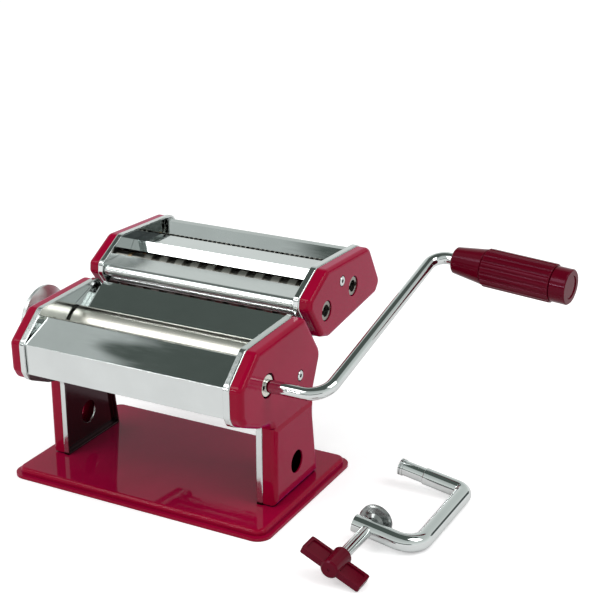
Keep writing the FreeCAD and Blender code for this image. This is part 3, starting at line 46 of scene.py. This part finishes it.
class Tree:
    """Nodes of a material or a world, with short ways to calculate in them."""

    def __init__(self, owner):
        owner.use_nodes = True
        self.nodes = owner.node_tree.nodes
        self.links = owner.node_tree.links

    def feed(self, socket, value):
        """Sets a socket to a number or a colour, or links it to another node's output."""
        if isinstance(value, (int, float)):
            socket.default_value = value
        elif isinstance(value, tuple):
            socket.default_value = (*value, 1)
        else:
            self.links.new(value, socket)

    def math(self, operation, *terms):
        """Calculates with numbers and outputs."""
        step = self.nodes.new("ShaderNodeMath")
        step.operation = operation
        for socket, term in zip(step.inputs, terms):
            self.feed(socket, term)
        return step.outputs[0]

    def axes(self, vector):
        """Splits a vector into its parts along X, Y and Z."""
        split = self.nodes.new("ShaderNodeSeparateXYZ")
        self.links.new(vector, split.inputs[0])
        return split.outputs

    def ramp(self, source, low, high, start=noise_start, end=noise_end, kind="LINEAR"):
        """Runs from low to high where the source runs from start to end."""
        spread = self.nodes.new("ShaderNodeMapRange")
        spread.interpolation_type = kind
        spread.inputs["From Min"].default_value = start
        spread.inputs["From Max"].default_value = end
        spread.inputs["To Min"].default_value = low
        spread.inputs["To Max"].default_value = high
        self.links.new(source, spread.inputs["Value"])
        return spread.outputs["Result"]

    def mixed(self, factor, first, second):
        """Gives the first colour where the factor is 0 and the second where it is 1."""
        mix = self.nodes.new("ShaderNodeMix")
        mix.data_type = "RGBA"
        self.feed(mix.inputs[mix_factor], factor)
        self.feed(mix.inputs[mix_first], first)
        self.feed(mix.inputs[mix_second], second)
        return mix.outputs[mix_result]


# Materials

edge_samples = 6
# Painted shade in corners and creases: ambient occlusion within this reach darkens the colour
corner_samples = 8
corner_reach = 2.2 * mm
corner_shade = (0.3, 0.62)
# Painted shade on the side plates: their foot and their flat sides below the arch are darkened in
# their colour
foot_height = 1.8 * mm
foot_fade = 0.4 * mm
foot_shade_colour = (0.05, 0.03, 0.03)
arch_fade = 4 * mm
flat_facing = (0.9, 0.98)
leg_shade_colour = (0.1, 0.055, 0.065)

chrome_tint = (0.97, 1.01, 1)
chrome_cloud = 0.94
chrome_smear = 0.05
polish_depth = 0.5 * micron
rod_tone = 0.74
slight_wave = 20 * micron

foot_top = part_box("base_tray")[1][2] + foot_height
arch_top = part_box("front_cover")[0][2]


class Recipe(Tree):
    """Node material with one Principled shader and procedural detail around it."""

    def __init__(self, name, colour, metallic=0, **sockets):
        self.material = bpy.data.materials.new(name)
        super().__init__(self.material)
        self.shader = self.nodes["Principled BSDF"]
        self.feed(self.shader.inputs["Base Color"], colour)
        self.feed(self.shader.inputs["Metallic"], metallic)
        for socket, value in sockets.items():
            self.feed(self.shader.inputs[socket.replace("_", " ")], value)
        coordinates = self.nodes.new("ShaderNodeTexCoord")
        self.place = coordinates.outputs["Object"]
        self.facing = coordinates.outputs["Normal"]
        self.normal = None

    def noise(self, cells, detail=3, by_axis=(1, 1, 1)):
        """Noise over the object in cells per metre, which a factor multiplies on each axis."""
        mapping = self.nodes.new("ShaderNodeMapping")
        mapping.inputs["Scale"].default_value = by_axis
        self.links.new(self.place, mapping.inputs["Vector"])
        noise = self.nodes.new("ShaderNodeTexNoise")
        noise.inputs["Scale"].default_value = cells
        noise.inputs["Detail"].default_value = detail
        noise.inputs["Roughness"].default_value = noise_roughness
        self.links.new(mapping.outputs["Vector"], noise.inputs["Vector"])
        return noise.outputs["Fac"]

    def colour(self, source):
        """Takes the base colour from an output."""
        self.links.new(source, self.shader.inputs["Base Color"])

    def rough(self, source):
        """Takes the roughness from an output."""
        self.links.new(source, self.shader.inputs["Roughness"])

    def shade_with(self, normal):
        """Shades the surface with a normal, which the next relief starts from."""
        self.links.new(normal, self.shader.inputs["Normal"])
        self.normal = normal

    def round_edges(self, radius):
        """Shades each sharp edge as a small round one."""
        edge = self.nodes.new("ShaderNodeBevel")
        edge.samples = edge_samples
        edge.inputs["Radius"].default_value = radius
        self.shade_with(edge.outputs["Normal"])

    def bump(self, source, depth):
        """Adds a relief of the given depth in metres over what is there."""
        bump = self.nodes.new("ShaderNodeBump")
        bump.inputs["Distance"].default_value = depth
        self.links.new(source, bump.inputs["Height"])
        if self.normal is not None:
            self.links.new(self.normal, bump.inputs["Normal"])
        self.shade_with(bump.outputs["Normal"])

    def painted_crevice_shade(self, unshaded, dark):
        """Paints shade into the narrow corners where pieces meet: the colour turns dark where little
        light reaches.
        """
        corner = self.nodes.new("ShaderNodeAmbientOcclusion")
        corner.samples = corner_samples
        corner.inputs["Distance"].default_value = corner_reach
        return self.mixed(self.ramp(corner.outputs["AO"], 0, 1, *corner_shade), dark, unshaded)

    def painted_leg_shade(self, unshaded):
        """Paints shade on a plate's foot, and paints shade and dark reflections on its flat sides
        below the arch.
        """
        height = self.axes(self.place)["Z"]
        foot = self.ramp(height, 1, 0, start=foot_top - foot_fade, end=foot_top + foot_fade)
        shaded_leg = self.ramp(height, 1, 0, start=arch_top - arch_fade, end=arch_top)
        sideways = self.math("ABSOLUTE", self.axes(self.facing)["X"])
        flat = self.math("MULTIPLY", shaded_leg, self.ramp(sideways, 0, 1, *flat_facing))
        return self.mixed(flat, self.mixed(foot, unshaded, foot_shade_colour), leg_shade_colour)


def times(share, colour):
    """Makes a colour darker or lighter."""
    return tuple(share * part for part in colour)


def red_paint():
    """Baked gloss enamel with a faint orange peel."""
    paint = Recipe("red_enamel", (0.27, 0.001, 0.025), Coat_Weight=1, Coat_Roughness=0.03,
                   Coat_IOR=1.235, Specular_IOR_Level=0, Sheen_Weight=0.36, Sheen_Roughness=0.35,
                   Sheen_Tint=(1, 0.06, 0.6))
    paint.round_edges(radius=0.4 * mm)
    cloud = paint.ramp(paint.noise(cells=40), low=0, high=1)
    unshaded = paint.mixed(cloud, first=(0.275, 0.0008, 0.021), second=(0.3, 0.0012, 0.025))
    # Painted shade: the enamel's colour turns nearly black in corners and creases
    paint.colour(paint.painted_crevice_shade(unshaded, dark=(0.02, 0.001, 0.002)))
    paint.rough(paint.ramp(paint.noise(cells=220), low=0.16, high=0.26))
    paint.bump(paint.noise(cells=260, detail=2), depth=10 * micron)
    return paint.material


def chrome(name="chromed_sheet", tone=0.72, dull=0.035, wave=200 * micron, waves=9,
           by_axis=(1, 3, 3), edge=0.5 * mm, shaded_leg=False):
    """Mirror chrome on rolled sheet: long waves in the sheet and fine polishing lines."""
    bright = times(tone, chrome_tint)
    sheet = Recipe(name, bright, metallic=1)
    if edge > 0:
        sheet.round_edges(edge)
    cloud = sheet.ramp(sheet.noise(cells=30, detail=4), low=0, high=1)
    unshaded = sheet.mixed(cloud, first=bright, second=times(chrome_cloud, bright))
    # Painted shade: the chrome's colour turns dark grey in corners and creases
    unshaded = sheet.painted_crevice_shade(unshaded, dark=(0.05, 0.05, 0.05))
    # Painted shade and painted dark reflection on the foot and below the arch, when asked for
    sheet.colour(sheet.painted_leg_shade(unshaded) if shaded_leg else unshaded)
    smears = sheet.noise(cells=60, detail=6, by_axis=(1, 8, 8))
    sheet.rough(sheet.ramp(smears, low=dull, high=dull + chrome_smear))
    sheet.bump(sheet.noise(cells=waves, detail=1, by_axis=by_axis), depth=wave)
    sheet.bump(sheet.noise(cells=900, detail=2, by_axis=(0.05, 1, 1)), depth=polish_depth)
    return sheet.material


def roller_steel(name="ground_steel", tone=1.0):
    """Ground steel with the fine rings of turning round its axis."""
    light = times(tone, (0.82, 0.8, 0.73))
    dark = times(tone, (0.76, 0.74, 0.67))
    steel = Recipe(name, light, metallic=1)
    rings = steel.noise(cells=3000, detail=2, by_axis=(1, 0.01, 0.01))
    unshaded = steel.mixed(steel.ramp(rings, low=0, high=1), first=light, second=dark)
    # Painted shade: the steel's colour turns black in corners and creases
    steel.colour(steel.painted_crevice_shade(unshaded, dark=(0.01, 0.01, 0.01)))
    steel.rough(steel.ramp(rings, low=0.3, high=0.38))
    steel.bump(rings, depth=0.8 * micron)
    return steel.material


def plain_steel():
    """Zinc coated steel, a little clouded."""
    grey = (0.62, 0.6324, 0.6386)
    steel = Recipe("zinc_steel", grey, metallic=1)
    cloud = steel.noise(cells=160, detail=5)
    spread = steel.ramp(cloud, low=0, high=1)
    steel.colour(steel.mixed(spread, first=grey, second=times(0.88, grey)))
    steel.rough(steel.ramp(cloud, low=0.16, high=0.27))
    steel.bump(steel.noise(cells=1500), depth=3 * micron)
    return steel.material


def bronze():
    """Sintered bearing bronze with open grain."""
    metal = Recipe("sintered_bronze", (0.55, 0.4, 0.24), metallic=1)
    grain = metal.noise(cells=2600, detail=4)
    spread = metal.ramp(grain, low=0, high=1)
    metal.colour(metal.mixed(spread, first=(0.6, 0.44, 0.27), second=(0.38, 0.27, 0.16)))
    metal.rough(metal.ramp(grain, low=0.3, high=0.5))
    metal.bump(grain, depth=20 * micron)
    return metal.material


def rubber():
    """Matt black rubber with a moulded grain."""
    pad = Recipe("black_rubber", (0.02, 0.02, 0.02))
    grain = pad.noise(cells=1800, detail=4)
    spread = pad.ramp(grain, low=0, high=1)
    pad.colour(pad.mixed(spread, first=(0.018, 0.018, 0.018), second=(0.035, 0.034, 0.033)))
    pad.rough(pad.ramp(grain, low=0.55, high=0.8))
    pad.bump(grain, depth=50 * micron)
    return pad.material


def red_plastic():
    """Dark red moulded plastic with soft flow marks and handling wear."""
    plastic = Recipe("red_plastic", (0.1, 0.0008, 0.0095), Specular_IOR_Level=0.16,
                     Specular_Tint=(0.9, 0.55, 0.8))
    flow = plastic.ramp(plastic.noise(cells=45, detail=5, by_axis=(0.4, 1, 1)), low=0, high=1)
    plastic.colour(plastic.mixed(flow, first=(0.108, 0.001, 0.0095), second=(0.09, 0.0006, 0.0075)))
    plastic.rough(plastic.ramp(plastic.noise(cells=400, detail=4), low=0.1, high=0.17))
    plastic.bump(plastic.noise(cells=1400), depth=2 * micron)
    return plastic.material


slot_finishes = {
    "red_paint": red_paint(),
    "chrome": chrome(),
    "roller_steel": roller_steel(),
    "steel": plain_steel(),
    "bronze": bronze(),
    "rubber": rubber(),
    "red_plastic": red_plastic(),
}
special_finishes = (
    (chrome("chromed_rod", rod_tone, wave=slight_wave, edge=0),
     ("crank_rod", "clamp_bar", "clamp_screw", "cover_screws", "cutter_cover_screws")),
    (chrome("satin_chrome", rod_tone, dull=0.3, wave=slight_wave, edge=0), ("gap_knob",)),
    (chrome("dark_steel", tone=0.3, dull=0.22, wave=slight_wave, edge=0), ("clamp_pad",)),
    (chrome("flat_sheet", edge=0), ("rear_guide", "cutter_ridge_guide", "cutter_rear_guide")),
    (chrome("rolled_sheet", dull=0.2, wave=slight_wave, edge=0), ("cutter_front_guide",)),
    (chrome("wavy_sheet", wave=1600 * micron, waves=15, by_axis=(0.6, 2, 2)), ("front_cover",)),
    # The side plates carry painted shade and painted dark reflections on their foot and below the
    # arch
    (chrome("chromed_plate", dull=0.12, shaded_leg=True), ("side_plate_left", "side_plate_right")),
    # Painted shade: the cutter rollers take a darker copy of the roller steel, as shade inside the
    # cutter slot
    (roller_steel("shaded_cutter_steel", tone=0.4),
     ("wide_driven_roller", "wide_mate_roller", "narrow_driven_roller", "narrow_mate_roller")),
)
own_finish = {name: material for material, names in special_finishes for name in names}

for name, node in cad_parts.items():
    for place in node.material_slots:
        slot = place.material.name.split(".")[0]
        place.material = own_finish.get(name, slot_finishes[slot])

# Studio

floor_corners = 96
floor_radius = 6
floor_place = (0.06, 0, -0.2 * mm)
floor_colour = (0.8, 0.8, 0.8)
lens_glow = 0.45
mirror_glow = 0.06

# The patch, the wall and the flags are ranges of a direction's parts, which run from -1 to 1
patch_slant = 0.27
patch_reach_x = 0.53
patch_reach_y = 0.5
patch_middle_y = 0.05
patch_corners = 4
patch_edge = (0.97, 1.15)
patch_colour = (0.09, 0.11, 0.1)
wall_low = (0.1, (0.92, 0.95, 0.94, 1))
wall_middle = (0.4, (0.68, 0.72, 0.7, 1))
wall_high = (0.9, (0.5, 0.54, 0.53, 1))
front_flag = (("Y", -1.2, -0.66, 0.12), ("Z", 0.04, 0.16, 0.04))
rear_flag = (("X", 0.42, 0.6, 0.05), ("Z", 0.1, 0.28, 0.05), ("Y", 0.65, 1.2, 0.08))
flag_colour = (0.07, 0.08, 0.08)
sky_low = (0.5, 0.5, 0.5)
sky_high = (0.82, 0.82, 0.82)
white = (1, 1, 1)

lamp_target = (0.03, 0, 0.07)
# Each lamp's name, place, size and power in watts
lamps = (
    ("key", (-0.68, -0.86, 1.3), (0.9, 0.5), 6),
    ("strip", (-0.64, -1.34, 0.5), (0.5, 0.08), 2.5),
    ("fill", (1.3, 0.1, 1.45), (0.8, 1), 10),
)

# The camera is the photograph's, solved from the machine's straight edges
camera_place = (0.47987, -0.73733, 0.4503)
camera_right = (0.8849, 0.4658, 0)
camera_up = (-0.1619, 0.3076, 0.9376)
camera_back = (0.4367, -0.8297, 0.3476)
camera_lens = 84.25


def floor():
    """Pale floor: it takes the shadow, and glows a little for the lens and the metal."""
    bpy.ops.mesh.primitive_circle_add(vertices=floor_corners, radius=floor_radius,
                                      fill_type="NGON", location=floor_place)
    ground = bpy.context.object
    ground.name = "floor"
    material = bpy.data.materials.new("pale_floor")
    tree = Tree(material)
    tree.nodes.clear()
    diffuse = tree.nodes.new("ShaderNodeBsdfDiffuse")
    tree.feed(diffuse.inputs["Color"], floor_colour)
    path = tree.nodes.new("ShaderNodeLightPath")
    glow = tree.nodes.new("ShaderNodeEmission")
    seen = tree.math("MULTIPLY", path.outputs["Is Camera Ray"], lens_glow)
    mirrored = tree.math("MULTIPLY", path.outputs["Is Glossy Ray"], mirror_glow)
    tree.feed(glow.inputs["Strength"], tree.math("ADD", seen, mirrored))
    both = tree.nodes.new("ShaderNodeAddShader")
    tree.feed(both.inputs[0], diffuse.outputs[0])
    tree.feed(both.inputs[1], glow.outputs[0])
    output = tree.nodes.new("ShaderNodeOutputMaterial")
    tree.feed(output.inputs["Surface"], both.outputs[0])
    ground.data.materials.append(material)


def around_patch(tree, way):
    """Is 0 in the directions of the dim ceiling patch, which has blunt corners, and 1 round it."""
    across = tree.math("ADD", way["X"], tree.math("MULTIPLY", way["Y"], patch_slant))
    along = tree.math("SUBTRACT", way["Y"], patch_middle_y)
    wide = tree.math("POWER", tree.math("DIVIDE", across, patch_reach_x), patch_corners)
    deep = tree.math("POWER", tree.math("DIVIDE", along, patch_reach_y), patch_corners)
    return tree.ramp(tree.math("ADD", wide, deep), 0, 1, *patch_edge, kind="SMOOTHSTEP")


def flag(tree, way, bands):
    """Is 1 in the directions inside all bands, which have an axis, two ends and a soft edge."""
    inside = 1
    for axis, low, high, soft in bands:
        rise = tree.ramp(way[axis], 0, 1, low - soft, low, kind="SMOOTHSTEP")
        fall = tree.ramp(way[axis], 1, 0, high, high + soft, kind="SMOOTHSTEP")
        inside = tree.math("MULTIPLY", inside, tree.math("MULTIPLY", rise, fall))
    return inside


def wall(tree, way):
    """Wall that dims upwards, as mirror sheets show it."""
    rise = tree.nodes.new("ShaderNodeValToRGB")
    tree.feed(rise.inputs["Fac"], way["Z"])
    steps = rise.color_ramp.elements
    steps.new(wall_middle[0])
    for step, (position, colour) in zip(steps, (wall_low, wall_middle, wall_high)):
        step.position = position
        step.color = colour
    return rise.outputs["Color"]


def surroundings():
    """White studio. Metal sees a wall, a dim patch of ceiling and two dark flags in it."""
    world = bpy.data.worlds.new("studio")
    bpy.context.scene.world = world
    tree = Tree(world)
    way = tree.axes(tree.nodes.new("ShaderNodeTexCoord").outputs["Generated"])
    below = tree.math("LESS_THAN", way["Z"], 0)
    bright = tree.math("MAXIMUM", around_patch(tree, way), below)
    mirrored = tree.mixed(bright, patch_colour, wall(tree, way))
    dark = tree.math("MAXIMUM", flag(tree, way, front_flag), flag(tree, way, rear_flag))
    mirrored = tree.mixed(dark, mirrored, flag_colour)
    path = tree.nodes.new("ShaderNodeLightPath")
    sky = tree.mixed(way["Z"], sky_low, sky_high)
    soft = tree.mixed(path.outputs["Is Glossy Ray"], sky, mirrored)
    seen = tree.mixed(path.outputs["Is Camera Ray"], soft, white)
    tree.feed(tree.nodes["Background"].inputs["Color"], seen)


def lamp(name, place, size, watts):
    """Soft box turned towards the object."""
    light = bpy.data.lights.new(name, "AREA")
    light.shape = "RECTANGLE"
    light.size, light.size_y = size
    light.energy = watts
    box = bpy.data.objects.new(name, light)
    bpy.context.scene.collection.objects.link(box)
    box.location = place
    aim = Vector(lamp_target) - Vector(place)
    box.rotation_euler = aim.to_track_quat("-Z", "Y").to_euler()


def camera():
    """Camera at the photograph's angle, above and to the right of the front."""
    data = bpy.data.cameras.new("camera")
    data.lens = camera_lens
    lens = bpy.data.objects.new("camera", data)
    bpy.context.scene.collection.objects.link(lens)
    turned = Matrix((camera_right, camera_up, camera_back)).transposed().to_4x4()
    lens.matrix_world = Matrix.Translation(camera_place) @ turned
    bpy.context.scene.camera = lens


floor()
surroundings()
for each in lamps:
    lamp(*each)
camera()
bpy.context.scene.view_settings.view_transform = "Standard"
